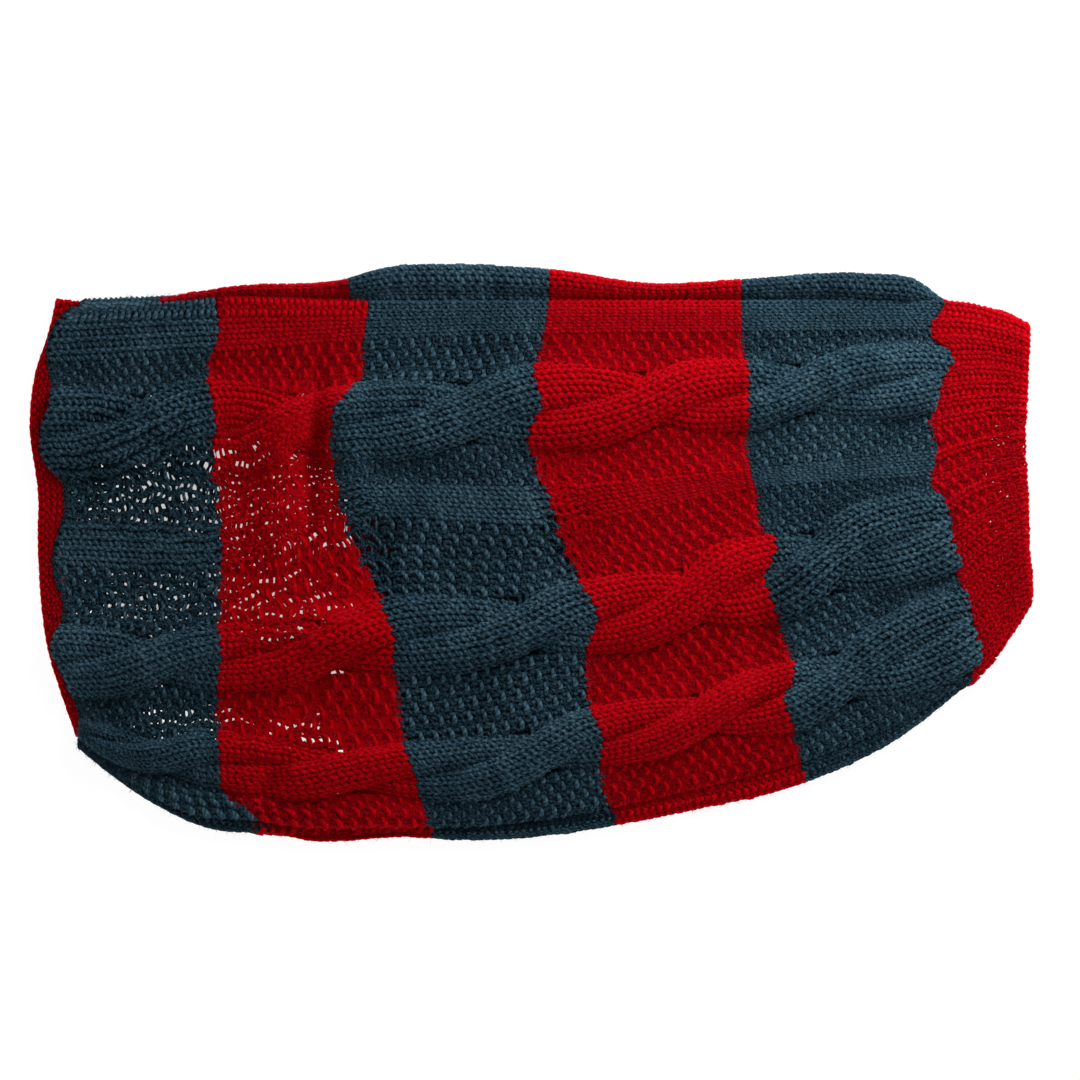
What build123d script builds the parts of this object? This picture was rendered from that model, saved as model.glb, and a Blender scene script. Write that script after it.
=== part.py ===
"""A striped, cable-knit neck gaiter lying flat on a table.

It is a knitted tube: an upper panel and a shorter under panel, joined by a seam along each long side, with a ribbed
collar at the narrow end and a wide open end. +X runs along the tube towards the collar, +Y runs across it and +Z is
up. The origin is at the centre of the outline, on the table. Each colour stripe is a solid of its own.
"""

import os

from build123d import *

os.makedirs("parts", exist_ok=True)

# Thicknesses of the fabric and heights of the space inside the tube, in millimetres
UNDER_THICKNESS = 5.0
UPPER_THICKNESS = 8.0
COLLAR_THICKNESS = 5.0
BODY_SPACE = 7.0
COLLAR_SPACE = 5.0

# Where the upper panel climbs onto the tube, and where it thins into the collar
CLIMB_START = -155.0
CLIMB_END = -100.0
COLLAR_SLOPE_START = 188.0
COLLAR_SLOPE_END = 206.0

# Larger than the object in each direction, for the trimming shapes
FAR = 300.0
WIDE = 160.0
TALL = 40.0

# The upper panel's outline, clockwise seen from above, as smooth stretches that meet at corners
PANEL_TOP = [(-214, 121), (-151, 122.5), (-77, 119.5), (40, 119), (130, 119), (186, 116), (198, 121)]
COLLAR_TOP = [(198, 121), (210, 117), (226, 116), (240, 108)]
COLLAR_MOUTH = [(240, 108), (237, 58), (239, 28), (241.5, -22)]
COLLAR_SLANT = [(241.5, -22), (236, -32), (210, -61.5)]
PANEL_BOTTOM = [
    (210, -61.5),
    (178, -88.5),
    (132, -110.5),
    (79, -123.5),
    (-28, -138),
    (-62, -136.5),
    (-103, -138.5),
    (-153, -134),
    (-194, -113),
    (-218, -93),
]
PANEL_LEFT = [(-218, -93), (-226, -42), (-225, 20), (-231, 60), (-230, 104), (-214, 121)]
UPPER_OUTLINE = [PANEL_TOP, COLLAR_TOP, COLLAR_MOUTH, COLLAR_SLANT, PANEL_BOTTOM, PANEL_LEFT]

# The under layer shows past the upper panel along the top and at the wide end
UNDER_TOP = [(-227, 121), (-178, 123), (-140, 129), (-92, 131), (-65, 137.5), (-38, 138.5), (9, 136), (60, 129.5)]
UNDER_TOP += [(102, 131.5), (162, 134), (184, 130), (198, 121)]
HEM_END = [(-218, -93), (-234, -43), (-238, 6), (-236, 28), (-241.5, 63), (-240, 83), (-227, 121)]
UNDER_OUTLINE = [UNDER_TOP, COLLAR_TOP, COLLAR_MOUTH, COLLAR_SLANT, PANEL_BOTTOM, HEM_END]

# Where one colour stops and the next starts, from past the top edge to past the bottom edge
EDGE_1_2 = [(-150.5, WIDE), (-150.5, 121), (-152.5, 77), (-148, 15), (-149.5, -71), (-146, -121), (-142, -WIDE)]
EDGE_2_3 = [(-77, WIDE), (-77, 119), (-93, 70), (-90.5, 21.5), (-70, -23), (-60, -91), (-47, -137), (-43, -WIDE)]
EDGE_3_4 = [(10, WIDE), (10, 121), (0, 57), (10, 24), (31.5, -32), (28.5, -73), (40.5, -130), (45, -WIDE)]
EDGE_4_5 = [(101, WIDE), (101, 101), (103.5, 52), (116, 6), (116, -26), (122, -70), (132, -111), (138, -WIDE)]
EDGE_5_6 = [(198, WIDE), (198, 121), (191.5, 60), (192, 36), (202, 0), (214, -43), (210, -61.5), (190, -WIDE)]
UNDER_2_3 = [(-87, WIDE), (-87, 131), (-80, 70), (-66, 20), (-60, -40), (-52, -90), (-47, -137), (-43, -WIDE)]
LEFT_END = [(-FAR, WIDE), (-FAR, 0), (-FAR, -WIDE)]
RIGHT_END = [(FAR, WIDE), (FAR, 0), (FAR, -WIDE)]

# Inner side of the hem border, and of the stretch of the first stripe that is wrapped under
HEM_INSIDE = [(-190, -WIDE), (-204, -93), (-220, -43), (-224, 6), (-227, 63), (-225, 83), (-212, 105), (-180, WIDE)]
WRAP_INSIDE = [(-195, -98), (-180, -106), (-150, -119), (-131, -124)]

# The bay that the wide opening cuts into the under panel, and the inner sides of the two seams
BAY = [(-178, 110), (-125, 106), (-94, 80), (-86, 20), (-84, -50), (-96, -108), (-128, -124)]
TOP_SEAM_INSIDE = [(-130, 111), (-60, 112), (60, 111), (150, 111), (184, 108), (226, 102), (FAR, 88)]
BOTTOM_SEAM_INSIDE = [(-110, -126), (-28, -127), (79, -112), (132, -99), (178, -77), (203, -54), (228, -24), (FAR, 20)]

# Side views: the table, the top of the under layer, and the two faces of the upper panel
TUBE_CEILING = UNDER_THICKNESS + BODY_SPACE
COLLAR_CEILING = UNDER_THICKNESS + COLLAR_SPACE
TABLE_LINE = [(-FAR, 0), (FAR, 0)]
UNDER_LINE = [(-FAR, UNDER_THICKNESS), (FAR, UNDER_THICKNESS)]
CEILING_LINE = [
    (-FAR, UNDER_THICKNESS),
    (CLIMB_START, UNDER_THICKNESS),
    (CLIMB_END, TUBE_CEILING),
    (COLLAR_SLOPE_START, TUBE_CEILING),
    (COLLAR_SLOPE_END, COLLAR_CEILING),
    (FAR, COLLAR_CEILING),
]
UPPER_LINE = [
    (-FAR, UNDER_THICKNESS + UPPER_THICKNESS),
    (CLIMB_START, UNDER_THICKNESS + UPPER_THICKNESS),
    (CLIMB_END, TUBE_CEILING + UPPER_THICKNESS),
    (COLLAR_SLOPE_START, TUBE_CEILING + UPPER_THICKNESS),
    (COLLAR_SLOPE_END, COLLAR_CEILING + COLLAR_THICKNESS),
    (FAR, COLLAR_CEILING + COLLAR_THICKNESS),
]
SEAM_FLOOR = [(CLIMB_END, UNDER_THICKNESS), (FAR, UNDER_THICKNESS)]
SEAM_CEILING = CEILING_LINE[2:]


def between(left, right):
    """The closed outline between two lines that run the same way."""
    return [left, [left[-1], right[-1]], right[::-1], [right[0], left[0]]]


def footprint(stretches):
    """The sketch inside smooth stretches that meet at corners."""
    with BuildSketch() as area:
        with BuildLine():
            for stretch in stretches:
                if len(stretch) == 2:
                    Line(stretch[0], stretch[1])
                else:
                    Spline(stretch)
        make_face()
    return area.sketch


def side_view(low_line, high_line):
    """The upright sketch between two lines seen from the side."""
    with BuildSketch(Plane.XZ) as area:
        with BuildLine():
            Polyline(low_line)
            Line(low_line[-1], high_line[-1])
            Polyline(high_line)
            Line(high_line[0], low_line[0])
        make_face()
    return area.sketch


def fabric(outline, part_of_it, low_line, high_line):
    """One layer of fabric: a footprint, the part of it that is kept, and the side view it lies within."""
    whole = footprint(outline)
    kept = footprint(part_of_it)
    side = side_view(low_line, high_line)
    with BuildPart() as layer:
        extrude(whole, amount=TALL)
        extrude(kept, amount=TALL, mode=Mode.INTERSECT)
        extrude(side, amount=WIDE, both=True, mode=Mode.INTERSECT)
    return layer.part


def write(part, name):
    """Labels a finished piece and writes its file."""
    part.label = name
    export_step(part, f"parts/{name}.step")


# Upper panel, stripe by stripe
UPPER_STRIPES = {
    "upper_band_2_red": (EDGE_1_2, EDGE_2_3),
    "upper_band_3_teal": (EDGE_2_3, EDGE_3_4),
    "upper_band_4_red": (EDGE_3_4, EDGE_4_5),
    "upper_band_5_teal": (EDGE_4_5, EDGE_5_6),
    "upper_collar": (EDGE_5_6, RIGHT_END),
}
for name, (left_edge, right_edge) in UPPER_STRIPES.items():
    write(fabric(UPPER_OUTLINE, between(left_edge, right_edge), CEILING_LINE, UPPER_LINE), name)

# The first stripe, with its lower edge wrapped under
first_sheet = fabric(UPPER_OUTLINE, between(LEFT_END, EDGE_1_2), CEILING_LINE, UPPER_LINE)
wrap_sides = [(WRAP_INSIDE[0][0], -WIDE), (WRAP_INSIDE[-1][0], -WIDE)]
first_wrap = fabric(UPPER_OUTLINE, between(WRAP_INSIDE, wrap_sides), TABLE_LINE, UNDER_LINE)
with BuildPart() as upper_band_1:
    add(first_sheet)
    add(first_wrap)
write(upper_band_1.part, "upper_band_1_teal")

# The red hem border at the wide end
write(fabric(UNDER_OUTLINE, between(LEFT_END, HEM_INSIDE[::-1]), TABLE_LINE, UNDER_LINE), "upper_hem")

# Under panel, stripe by stripe
UNDER_STRIPES = {
    "under_band_3_teal": (UNDER_2_3, EDGE_3_4),
    "under_band_4_red": (EDGE_3_4, EDGE_4_5),
    "under_band_5_teal": (EDGE_4_5, EDGE_5_6),
    "under_collar": (EDGE_5_6, RIGHT_END),
}
for name, (left_edge, right_edge) in UNDER_STRIPES.items():
    write(fabric(UNDER_OUTLINE, between(left_edge, right_edge), TABLE_LINE, UNDER_LINE), name)

# The under panel's red border, round the bay at the wide end
bay_side = [[(-178, WIDE), BAY[0]], BAY, [BAY[-1], (-128, -WIDE)], [(-128, -WIDE), UNDER_2_3[-1]], UNDER_2_3[::-1]]
border_area = bay_side + [[UNDER_2_3[0], (-178, WIDE)]]
write(fabric(UNDER_OUTLINE, border_area, TABLE_LINE, UNDER_LINE), "under_hem")

# The seams that join the two panels along the long sides
SEAMS = {
    "side_seam_top": (TOP_SEAM_INSIDE, WIDE),
    "side_seam_bottom": (BOTTOM_SEAM_INSIDE, -WIDE),
}
for name, (inside, far_side) in SEAMS.items():
    outside = [(inside[0][0], far_side), (inside[-1][0], far_side)]
    write(fabric(UNDER_OUTLINE, between(inside, outside), SEAM_FLOOR, SEAM_CEILING), name)
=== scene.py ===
"""The looks of a striped, cable-knit neck gaiter: every stitch is a loop of yarn, worked course by course.

Lengths are in millimetres in the row frame until a mesh is made. A fabric is a surface over two counts:
s runs along the tube in courses, and w runs across it in wales, from the top edge (+Y) to the bottom edge.
"""

import bmesh
import bpy
import numpy as np
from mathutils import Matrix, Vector


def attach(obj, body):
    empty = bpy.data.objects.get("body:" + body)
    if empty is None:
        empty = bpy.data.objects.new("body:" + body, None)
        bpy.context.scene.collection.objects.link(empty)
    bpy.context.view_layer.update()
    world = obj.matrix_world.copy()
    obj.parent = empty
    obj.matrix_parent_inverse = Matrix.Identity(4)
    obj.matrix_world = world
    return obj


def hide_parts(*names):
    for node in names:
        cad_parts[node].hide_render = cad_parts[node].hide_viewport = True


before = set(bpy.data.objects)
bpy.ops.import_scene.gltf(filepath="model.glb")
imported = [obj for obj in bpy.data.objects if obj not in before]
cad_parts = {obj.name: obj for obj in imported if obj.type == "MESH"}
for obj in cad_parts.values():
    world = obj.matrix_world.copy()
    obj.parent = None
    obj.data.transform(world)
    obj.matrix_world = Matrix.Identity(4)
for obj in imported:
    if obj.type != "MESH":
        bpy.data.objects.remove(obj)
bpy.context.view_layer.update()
rng = np.random.default_rng(7)

MM = 0.001
TEAL, RED = "teal", "red"

# ---------------------------------------------------------------- the pattern

# Stripes of the upper panel: node, colour, courses, loose fibres a stitch, and how high the ground lies
STRIPES = [
    ("upper_band_1_teal", TEAL, 24, 20, 0.5),
    ("upper_band_2_red", RED, 23, 22, 0.7),
    ("upper_band_3_teal", TEAL, 26, 13, -0.8),
    ("upper_band_4_red", RED, 27, 22, 0.6),
    ("upper_band_5_teal", TEAL, 26, 13, -0.9),
]
EDGE_COURSES = np.cumsum([0] + [stripe[2] for stripe in STRIPES]).astype(float)

# Panels of stitches across the fabric, from the top edge to the bottom edge: stitch, wales
ZONES = [
    ("plain", 5),
    ("moss", 4),
    ("cable", 10),
    ("moss", 5),
    ("plain", 4),
    ("moss", 6),
    ("cable", 10),
    ("moss", 5),
    ("cable", 10),
    ("moss", 4),
    ("rib", 4),
]
ZONE_STARTS = np.cumsum([0] + [wales for _, wales in ZONES])
IS_CABLE = np.array([kind == "cable" for kind, _ in ZONES])
IS_MOSS = np.array([kind == "moss" for kind, _ in ZONES])
WALES = int(ZONE_STARTS[-1])

# Courses where a cable's strands cross, from before the first course to past the last
CROSSINGS = np.array([-10.0, 14.5, 39.0, 65.0, 88.0, 107.5, 130.0, 155.0])

# Each colour edge of the upper panel, from the top edge to the bottom edge
EDGES = [
    [
        (-212, 121), (-223, 114), (-229, 104), (-229, 72), (-235, 56), (-233, 46), (-225, 36),
        (-228, -6), (-223, -30), (-229, -47), (-222, -61), (-216, -76), (-216, -93),
    ],
    [
        (-150, 123), (-150, 101), (-154, 92), (-152, 77), (-152, 52), (-148, 15), (-148, -21),
        (-149, -85), (-147, -112), (-145, -117), (-127, -126), (-120, -136),
    ],
    [
        (-77, 120), (-80, 101), (-82, 82), (-93, 70), (-94, 46), (-90, 21), (-83, -1), (-70, -23),
        (-66, -46), (-60, -91), (-52, -119), (-47, -137),
    ],
    [
        (9, 121), (6, 101), (3, 86), (4, 72), (0, 57), (3, 40), (10, 24), (15, 7), (31, -32),
        (27, -50), (29, -73), (34, -88), (34, -106), (41, -130),
    ],
    [
        (101, 120), (101, 101), (105, 77), (103, 52), (108, 28), (111, 12), (116, 6), (113, -11),
        (116, -26), (125, -62), (122, -70), (125, -84), (132, -111),
    ],
    [
        (198, 121), (192, 104), (201, 96), (197, 82), (191, 64), (194, 46), (192, 36), (201, 18),
        (202, -1), (212, -32), (214, -44), (212, -56), (209, -64),
    ],
]
# Where the lines between the zones meet each colour edge
ZONE_LINES = np.array([
    [121, 91, 77, 36, 14, -6, -36, -68, -81, -88, -91, -93],
    [123, 96, 82, 36, 14, -7, -35, -67, -86, -114, -125, -135],
    [120, 102, 80, 44, 31, 16, -23, -59, -92, -119, -129, -137],
    [120, 105, 89, 49, 32, 14, -14, -49, -75, -102, -120, -130],
    [120, 106, 92, 60, 40, 31, 9, -32, -52, -84, -99, -111],
    [120, 107, 101, 67, 49, 37, 32, -8, -14, -55, -60, -64],
], float)

# The upper panel's outline along its two long sides
PANEL_TOP = [(-214, 121), (-151, 122.5), (-77, 119.5), (40, 119), (130, 119), (186, 117), (198, 120)]
PANEL_BOTTOM = [
    (-218, -92), (-194, -111), (-153, -132), (-120, -135), (-103, -138), (-62, -136), (-28, -137.5),
    (79, -123), (132, -110), (178, -87.5), (210, -62),
]
# How strongly each line between zones follows the bottom outline
BOTTOM_SHARE = np.array([0, 0, 0, 0, 0, 0, 0, 0, 0.2, 0.5, 0.8, 1.0])

# The length of a course before the first one and after the last
COURSE_BEFORE, COURSE_AFTER = 2.6, 3.0

# Height of the upper fabric's middle above the table, at each colour edge
HEIGHTS = np.array([4.5, 5.5, 9.0, 10.0, 10.0, 9.5])

# Soft folds of the upper panel: centre, half length, half width, direction in degrees, height
FOLDS = [
    ((-104, 46), 32, 5, 86, -4.5),
    ((-122, 34), 36, 8, 88, 2.5),
    ((-86, 40), 34, 8, 96, 3.5),
    ((-94, -38), 30, 9, -8, 4.0),
    ((-104, -66), 18, 4, 48, -5.0),
    ((-124, -110), 8, 5, 30, -5.0),
    ((-184, -101), 13, 4, -8, -4.5),
    ((-200, 62), 16, 4, 2, -3.0),
    ((-182, 52), 12, 4, 12, -3.5),
    ((-185, 0), 44, 16, 5, -2.5),
    ((-72, -2), 24, 9, 62, -3.5),
    ((-44, 34), 22, 6, -6, -2.5),
    ((20, 5), 26, 12, 65, -3.0),
    ((112, -40), 34, 8, 80, -3.0),
    ((150, 12), 34, 9, 15, -3.0),
    ((178, -46), 30, 6, 28, -2.5),
]

# Places where the stitches are pulled open: centre, half length, half width, direction in degrees, strength
OPENINGS = [
    ((-166, 32), 22, 20, 0, 1.05),
    ((-200, 28), 30, 17, -4, 0.85),
    ((-178, -22), 42, 15, 2, 0.9),
    ((-170, -79), 30, 9, 4, 0.9),
    ((-118, 24), 34, 40, 0, 0.92),
    ((-143, 30), 8, 30, 0, 0.25),
    ((-114, -34), 32, 20, 0, 0.72),
    ((-112, -86), 34, 10, -4, 0.85),
    ((-76, 2), 10, 24, 20, 0.95),
    ((13, 44), 12, 8, 0, 1.4),
    ((21, 10), 11, 22, 20, 1.4),
    ((122, -92), 9, 6, 0, 0.75),
    ((28, 102), 24, 3, 0, 0.8),
    ((226.5, 26), 7.5, 54, 2, 1.75),
]

# Yarn and loops
YARN_RADIUS = 1.3
YARN_SHARE = 0.285
BAR_FULLNESS = 1.10
LOOP_REACH = 0.88
# How far a piece's first and last courses reach past its ends, in courses
BAND_REACH, COLLAR_REACH, UNDER_REACH = (0.12, 0.18), (0.12, 0.5), (0.0, 0.0)
LOOP_LEAN = 0.255
LOOP_DEPTH, BAR_DEPTH = 0.95, 1.5
# Moss stitch in each colour: how far its bars and its legs stand out, and how full they are
MOSS_RELIEF = {TEAL: (1.5, 0.4, 1.12, 0.92), RED: (1.0, 0.1, 1.0, 0.88)}
STEPS, SIDES = 10, 5
HIDDEN_STEPS, HIDDEN_SIDES = 8, 4
# How uneven the stitches are: a loop's reach, lean, depth and sway, its thickness in close and in pulled
# stitches, a whole course's thickness, and how far a pulled stitch strays along and across the tube
REACH_VARIES, LEAN_VARIES, DEPTH_VARIES, SWAY = 0.07, 0.1, 0.1, 0.04
SIZE_VARIES, PULLED_SIZE_VARIES, COURSE_VARIES = 0.05, 0.10, 0.06
STRAY_ALONG, STRAY_ACROSS = 0.30, 0.34
# The thinnest that yarn gets in close stitches, and how full it is in the under panel, as shares
LEAST_YARN, UNDER_FULLNESS = 0.75, 1.1
# How far the yarn that is furthest out stands in front of the fabric's middle; the painted shade deep in the
# fabric is measured over this range
FRONT_RANGE = 2.6

# Where stitches are pulled open: the most that the yarn follows, how far its legs part and how much it thins
MOST_PULLED = 1.3
LEGS_PART = 0.13
YARN_THINS = 0.36
# The gaps in the ground there: from what pull and how unevenly, their growth, sizes, length and drift
OPEN_FROM, OPEN_NOISE = 0.42, 0.12
HOLE_GROWTH, HOLE_LEAST, HOLE_MOST = 0.8, 0.12, 0.38
HOLE_LENGTH = 0.72
HOLE_DRIFT = 0.07
# How close together points of the ground are joined, in metres
WELD_DISTANCE = 0.0001

# Loose fibre: its length and thickness, and how far it stands off the yarn
FIBRE_LENGTH = 1.6
FIBRE_WIDTH = 0.12
FIBRE_LIFT = 0.7
# The points of a fibre: share of its length, and share of its width there
FIBRE_POINTS = [(0, 1.0), (0.5, 0.85), (1, 0.35)]


# ---------------------------------------------------------------- curves and surfaces


def smooth(at, knots, values):
    """Values at the given places, on a smooth curve through the knots.

    Where each place has values of its own, they run along the last axis.
    """
    knots, values = np.asarray(knots, float), np.asarray(values, float)
    slopes = np.gradient(values, knots, axis=-1)
    at = np.clip(at, knots[0], knots[-1])
    i = np.clip(np.searchsorted(knots, at) - 1, 0, len(knots) - 2)
    gap = knots[i + 1] - knots[i]
    t = (at - knots[i]) / gap
    if values.ndim == 1:
        a, b, da, db = values[i], values[i + 1], slopes[i], slopes[i + 1]
    else:
        n = np.arange(len(at))
        a, b, da, db = values[n, i], values[n, i + 1], slopes[n, i], slopes[n, i + 1]
    h = t * t * (3 - 2 * t)
    return a + (b - a) * h + gap * (da * t * (1 - t) ** 2 - db * t * t * (1 - t))


def line_y(line, x):
    """How far across the tube a line lies, at a place along it."""
    points = np.array(line, float)
    return smooth(x, points[:, 0], points[:, 1])


def edge_x(edge, y):
    """How far along the tube a colour edge lies, at a place across it."""
    points = np.array(edge[::-1], float)
    return smooth(y, points[:, 1], points[:, 0])


# How flat the middle of a soft patch is, and how steeply it falls off
PATCH_POWER, PATCH_FALL = 1.5, 0.7


def patches(x, y, shapes):
    """The sum of several soft oval patches at each place, each with its own sign."""
    total = np.zeros(len(x))
    for (cx, cy), long, wide, turn, strength in shapes:
        a = np.radians(turn)
        u = ((x - cx) * np.cos(a) + (y - cy) * np.sin(a)) / long
        v = ((y - cy) * np.cos(a) - (x - cx) * np.sin(a)) / wide
        total = total + strength * np.exp(-((u * u + v * v) ** PATCH_POWER) * PATCH_FALL)
    return total


def openness(x, y):
    """How far the stitches are pulled open, from 0 to about 1, with two slow waves that make it ragged."""
    ragged = 0.08 * np.sin(x * 0.31 + 1.7 * np.sin(y * 0.23))
    ragged = ragged + 0.07 * np.sin(y * 0.41 + 1.3 * np.sin(x * 0.17))
    return patches(x, y, OPENINGS) + ragged


def plan(s, w):
    """The upper fabric seen from above, at fractional courses and wales, with no cable pulled across."""
    xs = [edge_x(edge, np.interp(w, ZONE_STARTS, lines)) for edge, lines in zip(EDGES, ZONE_LINES)]
    x = smooth(s, EDGE_COURSES, np.stack(xs, axis=1))
    return x + np.maximum(s - EDGE_COURSES[-1], 0) * COURSE_AFTER + np.minimum(s, 0) * COURSE_BEFORE


def cable_phase(s):
    """Half turns of the cables along the courses: a crossing is at every .5."""
    return np.interp(s, CROSSINGS, np.arange(len(CROSSINGS)) - 0.5)


def zone_lines(s):
    """Where the lines between the zones run, drawn in beside each crossing."""
    lines = np.stack([smooth(s, EDGE_COURSES, ZONE_LINES[:, k]) for k in range(len(ZONES) + 1)])
    corner_x = smooth(s, EDGE_COURSES, [edge[-1][0] for edge in EDGES])
    lines += BOTTOM_SHARE[:, None] * (line_y(PANEL_BOTTOM, corner_x) - lines[-1])
    pull = CABLE_PULL * np.sin(np.pi * cable_phase(s)) ** 2
    for k in np.flatnonzero(IS_CABLE):
        half = (lines[k] - lines[k + 1]) / 2
        lines[k] -= pull * half
        lines[k + 1] += pull * half
    return lines


# A cable's strands: how far round one its wales go, its thickness, how far it rises and sinks at a crossing,
# how far it lies to the side, its width there and at a crossing, and how far a crossing draws the cable in
STRAND_WRAP = np.radians(74)
STRAND_THICKNESS = 6.0
STRAND_RISE = 4.4
STRAND_SINK = 2.6
STRAND_OFFSET = 0.50
STRAND_WIDTH = 0.55
CROSSING_WIDTH = 0.72
CABLE_PULL = 0.22
# The length of a half turn, how far a cable is set into the fabric, and how deep a moss panel sags
HALF_TURN, CABLE_SET, MOSS_SAG = 82.0, 1.5, 1.2
# The share of their relief that the cables keep, at some courses
CABLE_RELIEF = [0, 18, 26, 42, 52], [1.15, 1.0, 0.68, 0.76, 1.0]
# How far pulled stitches wander off their rows
WANDER = 1.3


def upper(course, s, w):
    """The upper fabric's middle surface. The course says which strand of a cable a wale belongs to."""
    zone = np.clip(np.searchsorted(ZONE_STARTS, w, side="right") - 1, 0, len(ZONES) - 1)
    is_cable = IS_CABLE[zone]
    lines = zone_lines(s)
    n = np.arange(len(s))
    top, bottom = lines[zone, n], lines[zone + 1, n]
    start, count = ZONE_STARTS[zone], (ZONE_STARTS[zone + 1] - ZONE_STARTS[zone])
    share = (w - start) / count
    half = (top - bottom) / 2

    # Cables: two strands that wind round each other
    phase = cable_phase(s)
    lower_group = share > 0.5
    first_on_top = -np.cos(np.pi * cable_phase(course + 0.5)) > 0
    turn = np.where(first_on_top != lower_group, 1.0, -1.0)
    swing = np.cos(np.pi * phase)
    offset = -turn * swing * (1.5 - 0.5 * swing**2)
    lift = turn * np.sin(np.pi * phase)
    across = np.where(lower_group, share * 2 - 1, share * 2)
    angle = (0.5 - across) * 2 * STRAND_WRAP
    crown = (np.cos(angle) - np.cos(STRAND_WRAP)) / (1 - np.cos(STRAND_WRAP))
    width = STRAND_WIDTH + (CROSSING_WIDTH - STRAND_WIDTH) * lift**2
    aside = width * half * np.sin(angle) / np.sin(STRAND_WRAP)
    cable_y = (top + bottom) / 2 + STRAND_OFFSET * half * offset + aside
    rise = np.where(lift > 0, lift * STRAND_RISE * (0.7 + 0.3 * crown), lift * STRAND_SINK)
    relief = np.interp(s, *CABLE_RELIEF)
    cable_z = relief * (rise + STRAND_THICKNESS * crown) - CABLE_SET

    share_seen = np.where(is_cable, (top - cable_y) / np.maximum(top - bottom, 1e-6), share)
    x = plan(s, start + share_seen * count)
    y = np.where(is_cable, cable_y, top + (bottom - top) * share)
    # A strand's courses stay square to it as it slants
    slant = turn * np.pi * np.sin(np.pi * phase) * STRAND_OFFSET * half / HALF_TURN
    x = x - np.where(is_cable, slant * aside, 0.0)

    wander = WANDER * np.clip(openness(x, y), 0, 1)
    sway_x = np.sin(y * 0.45 + 1.2 * np.sin(x * 0.2))
    sway_y = np.sin(x * 0.38 + 1.5 * np.sin(y * 0.25))
    x, y = x + wander * sway_x, y + wander * sway_y

    z = smooth(s, EDGE_COURSES, HEIGHTS) + np.where(is_cable, cable_z, 0.0)
    z = z - np.where(IS_MOSS[zone], MOSS_SAG * np.sin(np.pi * np.clip(share, 0, 1)), 0.0)
    z = z + patches(x, y, FOLDS)
    y, z = roll_edges(s, w, y, z)
    return np.stack([x, y, z], axis=1)


# How many wales or courses each edge takes to roll down, the fold's place in wales from the lower edge, and
# the least height of the fabric's middle and how sharply it bends there
TOP_ROLL, BOTTOM_ROLL, FOLD_ROLL, END_ROLL, COLLAR_ROLL = 2.6, 4.0, 1.3, 3.0, 2.6
FOLD_LINE = 3.6
LOWEST, LOWEST_BEND = 1.8, 1.5
# How low the fabric's middle is where it has rolled down: along the top and the bottom at each colour edge,
# at the wide end and at the collar
LOW_TOP = [4.0, 3.5, 5.0, 5.5, 5.5, 5.0]
LOW_BOTTOM = [2.4, 2.6, 2.6, 3.0, 3.0, 3.2]
LOW_END, LOW_COLLAR = 4.4, 9.0
# How much of the fold along the lower edge is there, at some courses
LAP = [6, 14, 42, 50, 60], [0.0, 1.0, 1.0, 0.4, 0.0]
# How far it laps out, in and up: each an amount, its place past the fold and its width, in wales
LAP_OUT, LAP_BACK, LAP_RISE = (2.6, -0.7, 1.0), (2.2, 0.9, 0.8), (2.5, -1.6, 2.0)


def roll_edges(s, w, y, z):
    """Rolls the fabric down to the table round its edges, and laps it over itself at the lower edge."""
    low_top, low_bottom = (np.interp(s, EDGE_COURSES, low) for low in (LOW_TOP, LOW_BOTTOM))
    lap = np.interp(s, *LAP)
    past_fold = w - (WALES - FOLD_LINE)
    out, back, rise = (
        lap * amount * np.exp(-(((past_fold - place) / width) ** 2))
        for amount, place, width in (LAP_OUT, LAP_BACK, LAP_RISE)
    )
    y, z = y - out + back, z + rise
    bottom_roll = BOTTOM_ROLL + (FOLD_ROLL - BOTTOM_ROLL) * lap
    sides = [
        (w, low_top, TOP_ROLL),
        (-past_fold, low_bottom, bottom_roll),
        (s, LOW_END, END_ROLL),
        (EDGE_COURSES[-1] - s, LOW_COLLAR, COLLAR_ROLL),
    ]
    for reach, low, roll in sides:
        t = np.clip(reach / roll, 0, 1)
        z = low + (z - low) * np.sqrt(np.maximum(1 - (1 - t) ** 2, 0))
    return y, LOWEST + np.logaddexp(0, (z - LOWEST) * LOWEST_BEND) / LOWEST_BEND


# The collar: courses and wales, the line of its mouth, and its stitches from the top edge down
COLLAR_COURSES, COLLAR_WALES = 15, 46
MOUTH = [(238, 108), (236.5, 77), (235.5, 58), (237, 28), (238, -1), (240, -23)]
COLLAR_BOTTOM_Y, COLLAR_TOP_Y, COLLAR_BOTTOM_RISE, COLLAR_TOP_FALL = -64, 120, 42, 11
COLLAR_KINDS = ["plain", "purl"] * 8 + ["moss", "moss", "plain"] * 4 + ["plain", "purl"] * 9


def collar_plan(s, w, courses):
    """The collar seen from above."""
    along, across = s / courses, w / COLLAR_WALES
    top, bottom = (COLLAR_TOP_Y - COLLAR_TOP_FALL * along**2), (COLLAR_BOTTOM_Y + COLLAR_BOTTOM_RISE * along)
    y = top + (bottom - top) * across
    return edge_x(EDGES[-1], y) * (1 - along) + edge_x(MOUTH, y) * along, y


# The collar's height beside the tube, its rise to the mouth, how low its sides roll and over how many wales
COLLAR_HEIGHT, COLLAR_RISE, COLLAR_LOW, COLLAR_SIDE_WALES = 8.5, 1.5, 5.0, 4
# How high its slow waves and its ribs are
COLLAR_WAVE, COLLAR_RIB = 0.6, 0.35


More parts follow.
